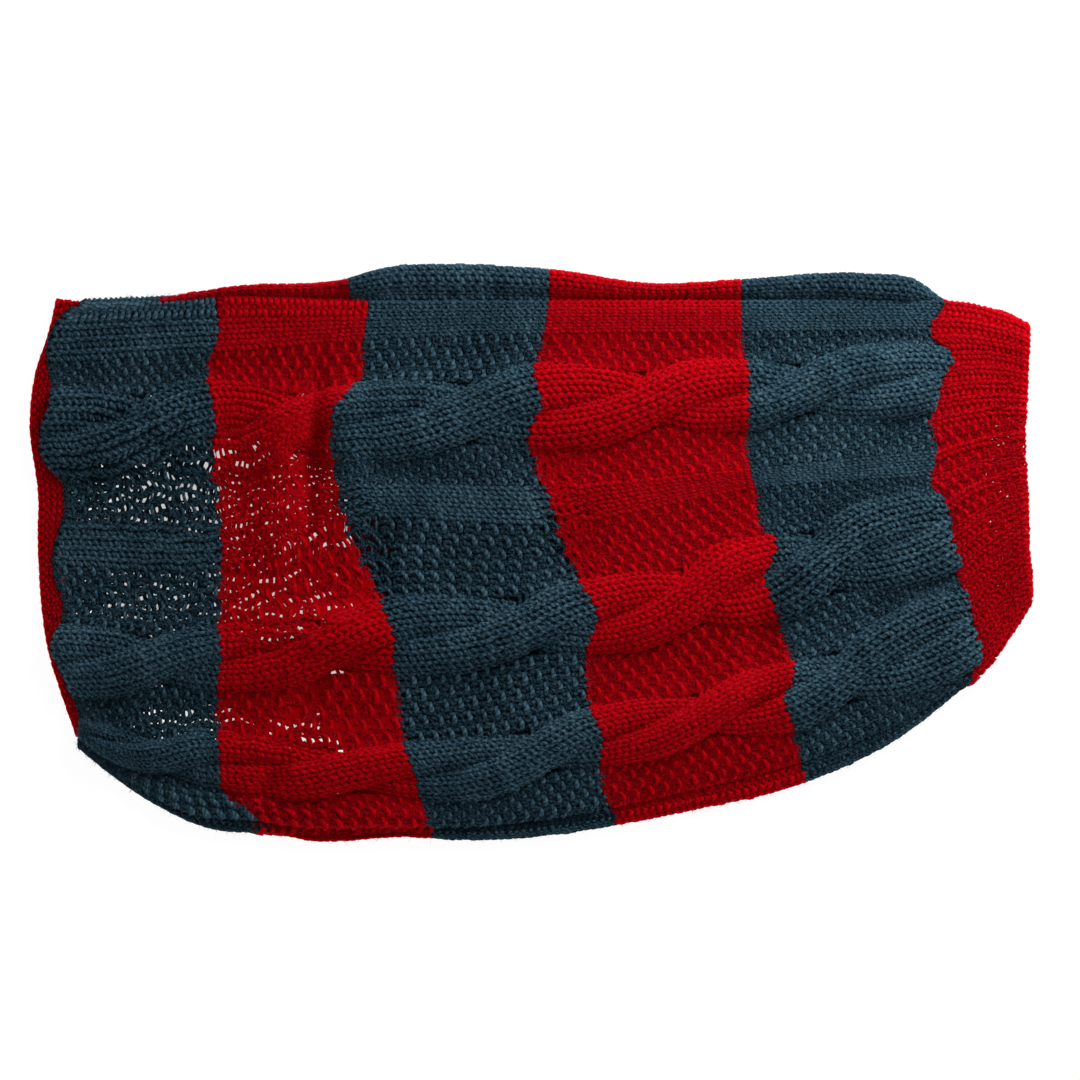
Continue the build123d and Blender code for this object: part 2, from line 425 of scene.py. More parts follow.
def upper_collar(course, s, w):
    """The upper collar's middle surface, which is the same for every course."""
    x, y = collar_plan(s, w, COLLAR_COURSES)
    middle = COLLAR_HEIGHT + COLLAR_RISE * np.clip(s / COLLAR_COURSES, 0, 1)
    t = np.clip(np.minimum(w, COLLAR_WALES - w) / COLLAR_SIDE_WALES, 0, 1)
    z = COLLAR_LOW + (middle - COLLAR_LOW) * np.sqrt(np.maximum(1 - (1 - t) ** 2, 0))
    z = z + COLLAR_WAVE * np.sin(y * 0.11 + 1.0) * np.sin(x * 0.09) + COLLAR_RIB * np.sin(np.pi * w)
    return np.stack([x, y, z], axis=1)


# The under panel: its courses between the start of the arms, the bay, the colour edges and the mouth
UNDER_COURSES = [20, 6, 24, 25, 24, COLLAR_COURSES]
UNDER_STARTS = np.cumsum([0] + UNDER_COURSES).astype(float)
UNDER_WALES = 62
BAY_EDGE = [(-94, 131), (-94, 80), (-86, 20), (-84, -50), (-90, -108), (-92, -137)]
UNDER_2_3 = [(-87, 131), (-80, 70), (-66, 20), (-60, -40), (-52, -90), (-47, -137)]
UNDER_EDGES = [[(-178, 131), (-178, -137)], BAY_EDGE, UNDER_2_3, *EDGES[3:], MOUTH]
UNDER_TOP = [
    (-227, 120), (-178, 121), (-140, 126.5), (-92, 129), (-65, 135.5), (-38, 136.5), (9, 134),
    (60, 127.5), (102, 129.5), (162, 132), (184, 129), (198, 120), (210, 115.5), (226, 114.5),
    (240, 107),
]
UNDER_BOTTOM = [
    (-194, -111), (-153, -131), (-103, -135), (-62, -134), (-28, -134.5), (79, -121), (132, -108),
    (178, -86), (210, -61), (236, -31), (241, -22),
]
UPPER_TOP = PANEL_TOP + [(210, 117), (226, 116), (240, 109)]

# The roll at the top: wales, how far out they lie between the two panels' edges, and heights
ROLL_WALES = [0.0, 1.6, 2.9, 4.0, 5.1, 6.5, 8.0]
ROLL_REACH = [-0.15, 0.32, 0.62, 0.90, 1.0, 0.82, 0.20]
ROLL_HEIGHT = [4.2, 6.0, 10.5, 11.4, 7.6, 3.0, 2.2]
UNDER_HEIGHT = 2.2
# The width of the gap beside the upper panel where the roll is at its full size, and its least size
FULL_GAP, LEAST_ROLL = 13.0, 0.35
# How high the under panel's slow waves are, and how far its lower edge rises, over how many wales
UNDER_WAVE, EDGE_RISE, EDGE_WALES = 0.5, 1.6, 3
# The wales of the under panel that are seen from above
SEEN_WALES = 9


def under(course, s, w):
    """The under panel's middle surface: up from the groove beside the upper panel, over a roll and under.

    It is the same for every course.
    """
    flat_w = np.clip((w - ROLL_WALES[-1]) / (UNDER_WALES - ROLL_WALES[-1]), 0, 1)
    # Where a wale lies depends on x, and the edges' x on y, so a rough y is settled in two rounds
    guess_y = 125 - 255 * flat_w
    for _ in range(2):
        xs = [edge_x(edge, guess_y) for edge in UNDER_EDGES]
        x = smooth(s, UNDER_STARTS, np.stack(xs, axis=1))
        inner, outer = line_y(UPPER_TOP, x), line_y(UNDER_TOP, x)
        gap = np.maximum(outer - inner, 3.0)
        roll_y = outer - gap + gap * smooth(w, ROLL_WALES, ROLL_REACH)
        end_y = outer - gap + gap * ROLL_REACH[-1]
        bottom = line_y(UNDER_BOTTOM, x)
        guess_y = np.where(w < ROLL_WALES[-1], roll_y, end_y + (bottom - end_y) * flat_w)
    size = np.clip(gap / FULL_GAP, LEAST_ROLL, 1.0)
    z = UNDER_HEIGHT + (smooth(w, ROLL_WALES, ROLL_HEIGHT) - UNDER_HEIGHT) * size
    z = z + UNDER_WAVE * np.sin(x * 0.07) * np.sin(guess_y * 0.05) * (w > ROLL_WALES[-1])
    z = z + EDGE_RISE * np.clip((w - UNDER_WALES + EDGE_WALES) / EDGE_WALES, 0, 1) ** 2
    return np.stack([x, guess_y, z], axis=1)


def ribbon(inner, outer, courses, wales, low, high):
    """A narrow strip between two lines that run the same way, with its courses along them."""
    lines = []
    for line in (inner, outer):
        points = np.array(line, float)
        length = np.concatenate([[0], np.cumsum(np.linalg.norm(np.diff(points, axis=0), axis=1))])
        lines.append((length / length[-1], points))

    def surface(course, s, w):
        """The strip's middle surface, which rolls down towards its outer line."""
        along, across = w / wales, s / courses
        ends = [np.stack([smooth(along, t, p[:, 0]), smooth(along, t, p[:, 1])], axis=1) for t, p in lines]
        flat = ends[0] + (ends[1] - ends[0]) * across[:, None]
        z = low + (high - low) * np.sqrt(np.maximum(1 - np.clip(across, 0, 1) ** 2, 0))
        return np.concatenate([flat, z[:, None]], axis=1)

    return surface


# ---------------------------------------------------------------- yarn

# How far into the next course the head of a loop lies
HEAD_AT = LOOP_REACH - 0.5


def stitch_sides(courses, kinds):
    """+1 where a stitch is knit and -1 where it is purl, for each course and wale."""
    sides = np.ones((len(courses), len(kinds)))
    for j, kind in enumerate(kinds):
        if kind == "moss":
            sides[:, j] = np.where((courses + j) % 2 == 0, 1, -1)
        elif kind == "purl" or (kind == "rib" and j % 2):
            sides[:, j] = -1
    return sides


def loops(surface, courses, wales, kinds, steps, reach, relief, plain_ends):
    """The yarn's path through every course, its normals, its radii and how far it stands out."""
    first_wale, kinds = wales[0], kinds[wales[0] : wales[1]]
    count, across = courses[1] - courses[0], wales[1] - wales[0]
    numbers = np.arange(courses[0], courses[1] + 1)
    sides = stitch_sides(numbers, kinds)
    # The first course of each colour is worked plain, so that the colours meet in a clean row of points
    if plain_ends:
        sides[[0, -1]] = 1
    c = np.repeat(np.arange(count), across * steps)
    j = np.tile(np.repeat(np.arange(across), steps), count)
    t = np.tile(np.linspace(-np.pi, np.pi, steps, endpoint=False), count * across)
    own, after = sides[c, j], sides[c + 1, j]
    beside = np.where(t < 0, sides[c, np.maximum(j - 1, 0)], sides[c, np.minimum(j + 1, across - 1)])
    around = np.abs(t)
    passing = 0.5 * np.clip(around / np.pi * 4 - 3, 0, 1) ** 2
    side = np.where(around < np.pi / 4, after, own + (beside - own) * passing)
    shape = rng.normal(0, 1, (4, count, across))[:, c, j]
    course = numbers[c].astype(float)
    wale = (j + first_wale).astype(float)
    centre = surface(course[::steps], course[::steps] + HEAD_AT + 0.5, wale[::steps] + 0.5)
    pulled = np.repeat(np.clip(openness(centre[:, 0], centre[:, 1]), 0, MOST_PULLED), steps)
    # Where the next stitch is purl, the head of a loop shows as a thick bar
    moss = np.array(kinds)[j] == "moss"
    bar = (around < np.pi / 4) & (after < 0)
    bar_depth, leg_depth, bar_fullness, leg_fullness = relief
    full = np.where(bar, np.where(moss, bar_fullness, BAR_FULLNESS), np.where(moss, leg_fullness, 1.0))
    full = 1 + (full - 1) * (1 - pulled)
    bars_out = np.where(moss, bar_depth, BAR_DEPTH)
    legs_out = np.where(moss & (side > 0), leg_depth, LOOP_DEPTH)
    deep = np.where(bar, bars_out, legs_out)
    s = course + 0.5 + LOOP_REACH * (1 + REACH_VARIES * shape[0]) * np.cos(t)
    s = np.clip(s, courses[0] - reach[0], courses[1] + reach[1])
    w = wale + 0.5 + t / (2 * np.pi) + LOOP_LEAN * (1 + LEAN_VARIES * shape[3]) * np.sin(2 * t)
    w = w + SWAY * shape[1] * np.cos(t / 2)
    w = w + LEGS_PART * pulled * np.sin(t)
    w = np.clip(w, wale + 0.001, wale + 0.999)
    step = 0.08
    middle = surface(course, s, w)
    along = surface(course, s + step, w) - surface(course, s - step, w)
    w_back, w_fore = np.maximum(w - step, wale + 0.0005), np.minimum(w + step, wale + 0.9995)
    across_step = (surface(course, s, w_fore) - surface(course, s, w_back)) / (w_fore - w_back)[:, None]
    pitch = np.linalg.norm(across_step, axis=1)
    normal = np.cross(across_step, along)
    normal /= np.maximum(np.linalg.norm(normal, axis=1), 1e-9)[:, None]
    depth = -side * deep * np.cos(2 * t) * (1 + DEPTH_VARIES * shape[2])
    points = middle + normal * depth[:, None]
    size = np.clip(YARN_SHARE * pitch, LEAST_YARN * YARN_RADIUS, YARN_RADIUS) * full
    size = size * (1 - YARN_THINS * pulled) * (1 + (SIZE_VARIES + PULLED_SIZE_VARIES * pulled) * shape[1])
    stray = np.stack([STRAY_ALONG * shape[0], STRAY_ACROSS * shape[2], 0 * t], axis=1)
    points = points + pulled[:, None] * stray
    paths, normals = points.reshape(count, -1, 3), normal.reshape(count, -1, 3)
    return paths, normals, size.reshape(count, -1), depth.reshape(count, -1)


def link(name, data):
    """A new object in the scene."""
    obj = bpy.data.objects.new(name, data)
    bpy.context.scene.collection.objects.link(obj)
    return obj


def build_mesh(name, points, faces, uv=None, front=None):
    """A mesh from points in millimetres and arrays of faces, pressed flat where it meets the table."""
    points = np.stack([points[:, 0], points[:, 1], np.maximum(points[:, 2], 0)], axis=1)
    mesh = bpy.data.meshes.new(name)
    corners = np.concatenate([f.ravel() for f in faces]).astype(np.int32)
    sizes = np.concatenate([np.full(len(f), f.shape[1]) for f in faces]).astype(np.int32)
    mesh.vertices.add(len(points))
    mesh.vertices.foreach_set("co", (points * MM).astype(np.float32).ravel())
    mesh.loops.add(len(corners))
    mesh.loops.foreach_set("vertex_index", corners)
    mesh.polygons.add(len(sizes))
    mesh.polygons.foreach_set("loop_start", np.concatenate([[0], np.cumsum(sizes)[:-1]]).astype(np.int32))
    mesh.polygons.foreach_set("loop_total", sizes)
    mesh.polygons.foreach_set("use_smooth", np.ones(len(sizes), bool))
    if uv is not None:
        layer = mesh.uv_layers.new(name="yarn")
        layer.data.foreach_set("uv", uv.astype(np.float32).ravel())
    # How far out the yarn lies, which its material turns into painted shade deep in the fabric
    if front is not None:
        mesh.attributes.new("front", "FLOAT", "POINT").data.foreach_set("value", front.astype(np.float32))
    mesh.update(calc_edges=True)
    return link(name, mesh)


def tube_parts(paths, normals, radii, depths, sides):
    """Round yarns, each along its path: points, side faces, end faces, yarn coordinates and how far out."""
    yarns, count, _ = paths.shape
    tangent = np.gradient(paths, axis=1)
    tangent /= np.maximum(np.linalg.norm(tangent, axis=2), 1e-9)[..., None]
    side = np.cross(tangent, normals)
    side /= np.maximum(np.linalg.norm(side, axis=2), 1e-9)[..., None]
    out = np.cross(side, tangent)
    angle = np.arange(sides) * 2 * np.pi / sides
    ring = side[:, :, None] * np.cos(angle)[:, None] + out[:, :, None] * np.sin(angle)[:, None]
    points = paths[:, :, None] + ring * radii[:, :, None, None]
    height = depths[:, :, None] + radii[:, :, None] * (ring * normals[:, :, None]).sum(axis=3)
    index = np.arange(yarns * count * sides).reshape(yarns, count, sides)
    a, b = index[:, :-1], index[:, 1:]
    quads = np.stack([a, np.roll(a, -1, 2), np.roll(b, -1, 2), b], axis=-1).reshape(-1, 4)
    caps = np.concatenate([index[:, 0, ::-1], index[:, -1]])
    steps = np.linalg.norm(np.diff(paths, axis=1), axis=2)
    length = np.concatenate([np.zeros((yarns, 1)), np.cumsum(steps, axis=1)], axis=1)
    u0, u1 = (np.repeat(v[:, :, None], sides, 2) for v in (length[:, :-1], length[:, 1:]))
    v0 = np.broadcast_to(np.arange(sides) / sides, u0.shape)
    uv = np.stack([u0, v0, u0, v0 + 1 / sides, u1, v0 + 1 / sides, u1, v0], axis=-1).reshape(-1, 2)
    # How far out each point lies, as a share, for the painted shade of loops deep in the fabric
    front = np.clip(height / FRONT_RANGE, 0, 1).ravel()
    return points.reshape(-1, 3), quads, caps, uv, np.zeros((caps.size, 2)), front


def tubes(name, groups):
    """One mesh of round yarns from groups of (paths, normals, radii, depths, sides)."""
    points, faces, uvs, fronts, base = [], [], [], [], 0
    for group in groups:
        verts, quads, caps, uv, cap_uv, front = tube_parts(*group)
        points.append(verts)
        fronts.append(front)
        faces += [quads + base, caps + base]
        uvs += [uv, cap_uv]
        base += len(verts)
    return build_mesh(name, np.concatenate(points), faces, np.concatenate(uvs), np.concatenate(fronts))


def knit(name, surface, parts, kinds, reach, relief, under_side):
    """Knitting as one mesh of yarn, and its seen parts. A part is a range of courses and of wales."""
    groups, seen = [], []
    for courses, wales in parts:
        hidden = under_side and wales[0] > 0
        steps, sides = (HIDDEN_STEPS, HIDDEN_SIDES) if hidden else (STEPS, SIDES)
        yarn = loops(surface, courses, wales, kinds, steps, reach, relief, plain_ends=not under_side)
        points, normals, size, depth = yarn
        # The under panel's right side faces away from the way that its normals point
        if under_side:
            normals, depth = -normals, -depth
        fullness = UNDER_FULLNESS if under_side else 1.0
        size = size * fullness * (1 + COURSE_VARIES * rng.normal(0, 1, (len(points), 1)))
        groups.append((points, normals, size, depth, sides))
        if not hidden:
            seen.append(groups[-1])
    return tubes(name, groups), seen


def fuzz(name, groups, fibres):
    """The halo of loose fibre over the yarn: thin curved ribbons that lie off it at all angles."""
    starts, outs = [], []
    for points, normals, size, _, _ in groups:
        flat, out, radius = points.reshape(-1, 3), normals.reshape(-1, 3), size.ravel()
        pick = rng.integers(0, len(flat), int(len(flat) / STEPS * fibres))
        starts.append(flat[pick] + out[pick] * radius[pick, None] * rng.uniform(0.5, 0.95, (len(pick), 1)))
        outs.append(out[pick])
    start, out = np.concatenate(starts), np.concatenate(outs)
    count = len(start)
    turn = rng.uniform(0, 2 * np.pi, count)
    side = np.cross(out, [0.31, 0.95, 0.05])
    side /= np.linalg.norm(side, axis=1)[:, None]
    ahead = np.cross(out, side)
    heading = side * np.cos(turn)[:, None] + ahead * np.sin(turn)[:, None]
    bend = -side * np.sin(turn)[:, None] + ahead * np.cos(turn)[:, None]
    length = FIBRE_LENGTH * rng.lognormal(0, 0.35, (count, 1)).clip(0.3, 2.2)
    lift = FIBRE_LIFT * rng.uniform(0.1, 1.0, (count, 1))
    curl = length * rng.normal(0, 0.35, (count, 1))
    stations = []
    for k, width in FIBRE_POINTS:
        centre = start + heading * length * k + out * lift * np.sin(np.pi * k * 0.8) + bend * curl * k * k
        half = 0.5 * FIBRE_WIDTH * width * (bend - heading * 2 * curl * k / length)
        stations.append(np.stack([centre - half, centre + half], axis=1))
    points = np.stack(stations, axis=1)
    index = np.arange(count * 6).reshape(count, 3, 2)
    quads = np.stack([index[:, :-1, 0], index[:, 1:, 0], index[:, 1:, 1], index[:, :-1, 1]], axis=-1)
    return build_mesh(name, points.reshape(-1, 3), [quads.reshape(-1, 4)])


# A cell of ground: its outline in shares of its length and width, and the directions of a gap's points
CELL = np.array([(0, 0), (0.5, 0), (1, 0), (1, 0.5), (1, 1), (0.5, 1), (0, 1), (0, 0.5)])
CELL_ANGLES = np.radians([225, 270, 315, 0, 45, 90, 135, 180])
HOLE_OUTLINE = np.stack([HOLE_LENGTH * np.cos(CELL_ANGLES), np.sin(CELL_ANGLES)], axis=1)


def web(name, surface, parts, height, opens=True):
    """The ground between the loops: a thin sheet that carries the painted shade of the gaps, with a round gap
    wherever a stitch is pulled open.
    """
    tiny = 0.0005
    all_corners = []
    for courses, wales in parts:
        rows, columns = np.arange(courses[0] - 1, courses[1]), np.arange(*wales)
        c, j = (g.ravel().astype(float) for g in np.meshgrid(rows, columns, indexing="ij"))
        low, high = np.maximum(c + HEAD_AT, courses[0]), np.minimum(c + 1 + HEAD_AT, courses[1])
        steps = [(low, tiny), (high, tiny), (high, 1 - tiny), (low, 1 - tiny)]
        all_corners.append(np.stack([surface(c, s, j + dw) for s, dw in steps], axis=1))
    corners = np.concatenate(all_corners)
    middle = corners.mean(axis=1)
    pulled = openness(middle[:, 0], middle[:, 1]) + rng.normal(0, OPEN_NOISE, len(middle))
    hole = np.clip((pulled - OPEN_FROM) * HOLE_GROWTH, 0, HOLE_MOST) * rng.uniform(0.55, 1.2, len(middle))
    gaping = (hole > HOLE_LEAST) & opens
    closed, around = corners[~gaping], corners[gaping]
    hole = hole[gaping]
    drift = rng.normal(0, HOLE_DRIFT, (len(around), 1, 2)).clip(-0.1, 0.1)
    inner = 0.5 + drift + hole[:, None, None] * HOLE_OUTLINE

    def within(places):
        """Points of the gaping cells, from shares of their length and width."""
        u, v = places[..., 0:1], places[..., 1:2]
        a, b, c, d = (around[:, k, None] for k in range(4))
        return a * (1 - u) * (1 - v) + b * u * (1 - v) + c * u * v + d * (1 - u) * v

    rings = np.stack([within(CELL[None]), within(inner)], axis=1)
    points = np.concatenate([closed.reshape(-1, 3), rings.reshape(-1, 3)])
    faces = [np.arange(len(closed) * 4).reshape(-1, 4)[:, ::-1]]
    if len(around):
        index = len(closed) * 4 + np.arange(len(around) * 16).reshape(-1, 2, 8)
        after = np.roll(index, -1, axis=2)
        faces.append(np.stack([index[:, 0], index[:, 1], after[:, 1], after[:, 0]], axis=-1).reshape(-1, 4))
    obj = build_mesh(name, points, faces)
    weld(obj)
    raise_sheet(obj, height)
    return obj


def raise_sheet(obj, height):
    """Moves a sheet along its own normals."""
    vertices = obj.data.vertices
    points, normals = np.empty(len(vertices) * 3), np.empty(len(vertices) * 3)
    vertices.foreach_get("co", points)
    obj.data.vertex_normals.foreach_get("vector", normals)
    points = (points + normals * height * MM).reshape(-1, 3)
    points[:, 2] = np.maximum(points[:, 2], 0)
    vertices.foreach_set("co", points.ravel())
    obj.data.update()


def weld(obj):
    """Joins the points where cells meet."""
    bm = bmesh.new()
    bm.from_mesh(obj.data)
    bmesh.ops.remove_doubles(bm, verts=bm.verts, dist=WELD_DISTANCE)
    bm.to_mesh(obj.data)
    bm.free()


# ---------------------------------------------------------------- materials

# Dark, middle and light tones of each yarn; besides the yarn's own mottling, the tone between them carries
# painted shade and painted light
COLOURS = {
    TEAL: ((0.007, 0.019, 0.030), (0.030, 0.072, 0.103), (0.098, 0.190, 0.252)),
    RED: ((0.500, 0.0008, 0.0040), (0.620, 0.0016, 0.0075), (0.690, 0.0045, 0.0150)),
}
# How much of the light goes through the fibres
SOFTNESS = {TEAL: 0.0, RED: 1.0}
# How much painted shade darkens the yarn from the front of the fabric to its back, standing for the shade
# that the loops cast on each other
PAINTED_RECESS_SHADE = {TEAL: 0.8, RED: 0.15}
# Dark and light tones of the ground between the loops, darker than the yarn: painted shade in the gaps
GROUND_SHADE_TONES = {
    TEAL: ((0.004, 0.010, 0.015), (0.012, 0.029, 0.041)),
    RED: ((0.480, 0.0008, 0.0040), (0.580, 0.0014, 0.0070)),
}


def matt_material(name, roughness, specular):
    """A new matt material, with its nodes, its links and its shader."""
    material = bpy.data.materials.new(name)
    material.use_nodes = True
    nodes, links = material.node_tree.nodes, material.node_tree.links
    shader = nodes["Principled BSDF"]
    shader.inputs["Roughness"].default_value = roughness
    shader.inputs["Specular IOR Level"].default_value = specular
    return material, nodes, links, shader


def noise(nodes, links, scale, detail):
    """A noise value that is fixed to the fabric."""
    place = nodes.new("ShaderNodeTexCoord")
    texture = nodes.new("ShaderNodeTexNoise")
    texture.inputs["Scale"].default_value = scale
    texture.inputs["Detail"].default_value = detail
    links.new(place.outputs["Object"], texture.inputs["Vector"])
    return texture.outputs["Fac"]


def colour_by(nodes, links, shader, value, stops):
    """Colours a shader by a value, through stops of position and colour."""
    ramp = nodes.new("ShaderNodeValToRGB")
    elements = ramp.color_ramp.elements
    for k, (position, colour) in enumerate(stops):
        element = elements[k] if k < len(elements) else elements.new(position)
        element.position = position
        element.color = (*colour, 1)
    links.new(value, ramp.inputs["Fac"])
    links.new(ramp.outputs["Color"], shader.inputs["Base Color"])


def calculator(nodes, links):
    """A function that adds a math node to a material, fed by sockets or numbers, and gives its output."""

    def math(kind, *values):
        node = nodes.new("ShaderNodeMath")
        node.operation = kind
        for socket, value in zip(node.inputs, values):
            if isinstance(value, (int, float)):
                socket.default_value = value
            else:
                links.new(value, socket)
        return node.outputs[0]

    return math


# The yarn: how its plies turn along it and round it, and the scales of its fibres and slow shades
PLY_TWIST, PLY_COUNT = 0.45, 2.0
FIBRE_SCALE, SLOW_SCALE = 1100, 45
# How much the plies' painted light and shade, fibres and slow shades count in the tone, and the depth at
# which the painted shade deep in the fabric is neutral
PLY_PAINTED_SHADING, FIBRE_TONE, SLOW_TONE, NEUTRAL_FRONT = 0.35, 0.75, 0.5, 0.68
# Where the dark, the middle and the light tone lie
TONE_STOPS = (0.15, 0.55, 0.95)


def yarn_material(name, colours, softness, shade):
    """Plied, slightly fuzzy yarn: twisted plies with painted light and shade, fine fibre, slow shades, and
    painted shade deep in the fabric.
    """
    material, nodes, links, shader = matt_material(name, roughness=0.92, specular=0.02)
    shader.inputs["Subsurface Weight"].default_value = softness
    shader.inputs["Subsurface Radius"].default_value = (1.0, 0.2, 0.15)
    shader.inputs["Subsurface Scale"].default_value = 0.003
    shader.inputs["Sheen Weight"].default_value = 0.3
    shader.inputs["Sheen Roughness"].default_value = 0.5
    shader.inputs["Sheen Tint"].default_value = (*colours[2], 1)
    math = calculator(nodes, links)

    uv = nodes.new("ShaderNodeUVMap")
    uv.uv_map = "yarn"
    split = nodes.new("ShaderNodeSeparateXYZ")
    links.new(uv.outputs["UV"], split.inputs[0])
    along = math("MULTIPLY", split.outputs["X"], PLY_TWIST)
    around = math("MULTIPLY", split.outputs["Y"], PLY_COUNT)
    # Painted light on the plies' crests and painted shade in the grooves between them; the same wave also
    # drives the bump
    plies = math("ABSOLUTE", math("SINE", math("MULTIPLY", math("ADD", along, around), 3.14159)))
    fibre = noise(nodes, links, FIBRE_SCALE, 4)
    slow = noise(nodes, links, SLOW_SCALE, 4)

    tone = math("ADD", math("MULTIPLY", plies, PLY_PAINTED_SHADING), math("MULTIPLY", fibre, FIBRE_TONE))
    tone = math("ADD", tone, math("MULTIPLY", math("SUBTRACT", slow, 0.5), SLOW_TONE))
    # Painted shade: yarn that lies further back in the fabric is darker
    front = nodes.new("ShaderNodeAttribute")
    front.attribute_name = "front"
    painted_shade_depth = math("SUBTRACT", front.outputs["Fac"], NEUTRAL_FRONT)
    tone = math("ADD", tone, math("MULTIPLY", painted_shade_depth, shade))
    colour_by(nodes, links, shader, tone, zip(TONE_STOPS, colours))

    height = math("ADD", math("MULTIPLY", plies, 0.7), math("MULTIPLY", fibre, 0.6))
    bump = nodes.new("ShaderNodeBump")
    bump.inputs["Distance"].default_value = 0.0006
    bump.inputs["Strength"].default_value = 0.9
    links.new(height, bump.inputs["Height"])
    links.new(bump.outputs["Normal"], shader.inputs["Normal"])
    return material


def ground_shade_material(name, colours):
    """The ground between the loops: matt and mottled, and dark as painted shade in the gaps between the
    loops.
    """
    material, nodes, links, shader = matt_material(name, roughness=1.0, specular=0.0)
    colour_by(nodes, links, shader, noise(nodes, links, 900, 4), zip((0.3, 0.75), colours))
    return material


def fuzz_material(name, colours):
    """Loose fibre: thin, matt, and between the middle and the light tone of its yarn."""
    material, nodes, links, shader = matt_material(name, roughness=0.9, specular=0.02)
    colour_by(nodes, links, shader, noise(nodes, links, 400, 2), zip((0.3, 0.7), colours[1:]))
    return material


YARN = {
    colour: yarn_material(f"{colour}_yarn", tones, SOFTNESS[colour], PAINTED_RECESS_SHADE[colour])
    for colour, tones in COLOURS.items()
}
GROUND_SHADE = {colour: ground_shade_material(f"{colour}_ground", tones) for colour, tones in GROUND_SHADE_TONES.items()}
FUZZ = {colour: fuzz_material(f"{colour}_fuzz", tones) for colour, tones in COLOURS.items()}


# ---------------------------------------------------------------- the pieces

# The size of a stitch when the fabric lies flat, and the share of the under panel's width at the collar
COURSE_SIZE, WALE_SIZE = 3.4, 3.4
UNDER_COURSE_SIZE, UNDER_WALE_SIZE = 3.6, 4.3
COLLAR_COURSE_SIZE, COLLAR_WALE_SIZE = 2.6, 3.5
COLLAR_SHARE = 0.6


def fabric(node, colour, surface, parts, kinds, fibres=10, ground_height=0.0,
           reach=BAND_REACH, under_side=False, opens=True):
    """Knitting in place of one CAD node: its yarn, the ground between the loops, and the loose fibre."""
    reach = UNDER_REACH if under_side else reach
    yarn, seen = knit(f"{node}_knit", surface, parts, kinds, reach, MOSS_RELIEF[colour], under_side)
    ground = web(f"{node}_ground", surface, parts, ground_height, opens)
    pieces = [(yarn, YARN), (ground, GROUND_SHADE), (fuzz(f"{node}_fuzz", seen, fibres), FUZZ)]
    for obj, material in pieces:
        obj.data.materials.append(material[colour])
        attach(obj, "root")
        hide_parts(node)


zone_kinds = ["plain" if kind == "cable" else kind for kind, wales in ZONES for _ in range(wales)]
for (node, colour, count, fibres, ground_height), first in zip(STRIPES, EDGE_COURSES.astype(int)):
    parts = [((int(first), int(first) + count), (0, WALES))]
    size = (count * COURSE_SIZE, WALES * WALE_SIZE)
    # The upper edge of the first two stripes is worked in purl
    kinds = ["purl"] * 2 + zone_kinds[2:] if first < EDGE_COURSES[2] else zone_kinds
    fabric(node, colour, upper, parts, kinds, fibres, ground_height)

collar_parts = [((0, COLLAR_COURSES), (0, COLLAR_WALES))]
fabric("upper_collar", RED, upper_collar, collar_parts, COLLAR_KINDS,
       fibres=16, ground_height=-0.1, reach=COLLAR_REACH)

# The red border at the wide end, past the first stripe's left edge
HEM_INSIDE = [
    (-206, 119), (-220, 105), (-227, 83), (-228, 63), (-222, 28), (-224, 6), (-222, -43),
    (-210, -88),
]
HEM_END = [
    (-226, 121.5), (-229, 109), (-237, 83), (-239, 63), (-235, 28), (-235, 6), (-231, -43),
    (-217, -88),
]
HEM_COURSES, HEM_WALES = 5, 56
hem = ribbon(HEM_INSIDE, HEM_END, HEM_COURSES, HEM_WALES, low=1.6, high=3.0)
hem_parts = [((0, HEM_COURSES), (0, HEM_WALES))]
fabric("upper_hem", RED, hem, hem_parts, ["plain"] * HEM_WALES, opens=False)

# The under panel, with its stitches' right side out, and its red border: a strip with an arm along each side
under_kinds = ["purl"] * UNDER_WALES
under_nodes = [
    ("under_band_3_teal", TEAL),
    ("under_band_4_red", RED),
    ("under_band_5_teal", TEAL),
    ("under_collar", RED),
]
FIRST_BAND, COLLAR = 2, 5
for k, (node, colour) in enumerate(under_nodes, FIRST_BAND):
    first, count = int(UNDER_STARTS[k]), UNDER_COURSES[k]
    parts = [((first, first + count), (0, SEEN_WALES)), ((first, first + count), (SEEN_WALES, UNDER_WALES))]
    size = (count * UNDER_COURSE_SIZE, UNDER_WALES * UNDER_WALE_SIZE)
    if k == COLLAR:
        size = (count * COLLAR_COURSE_SIZE, size[1] * COLLAR_SHARE)
    fabric(node, colour, under, parts, under_kinds, under_side=True, opens=k == COLLAR)

arm, strip = UNDER_COURSES[0], UNDER_COURSES[1]
TOP_ARM_WALES, BOTTOM_ARM_COURSES, BOTTOM_ARM_WALES = 12, 8, 4
border_parts = [
    ((0, arm), (0, TOP_ARM_WALES)),
    ((arm, arm + strip), (0, UNDER_WALES)),
    ((arm - BOTTOM_ARM_COURSES, arm), (UNDER_WALES - BOTTOM_ARM_WALES, UNDER_WALES)),
]
fabric("under_hem", RED, under, border_parts, under_kinds, under_side=True, opens=False)


# A seam's stitches: their spacing, their points and the sides of their yarn
STITCH_SPACING, STITCH_POINTS, STITCH_SIDES = 4.2, 12, 6


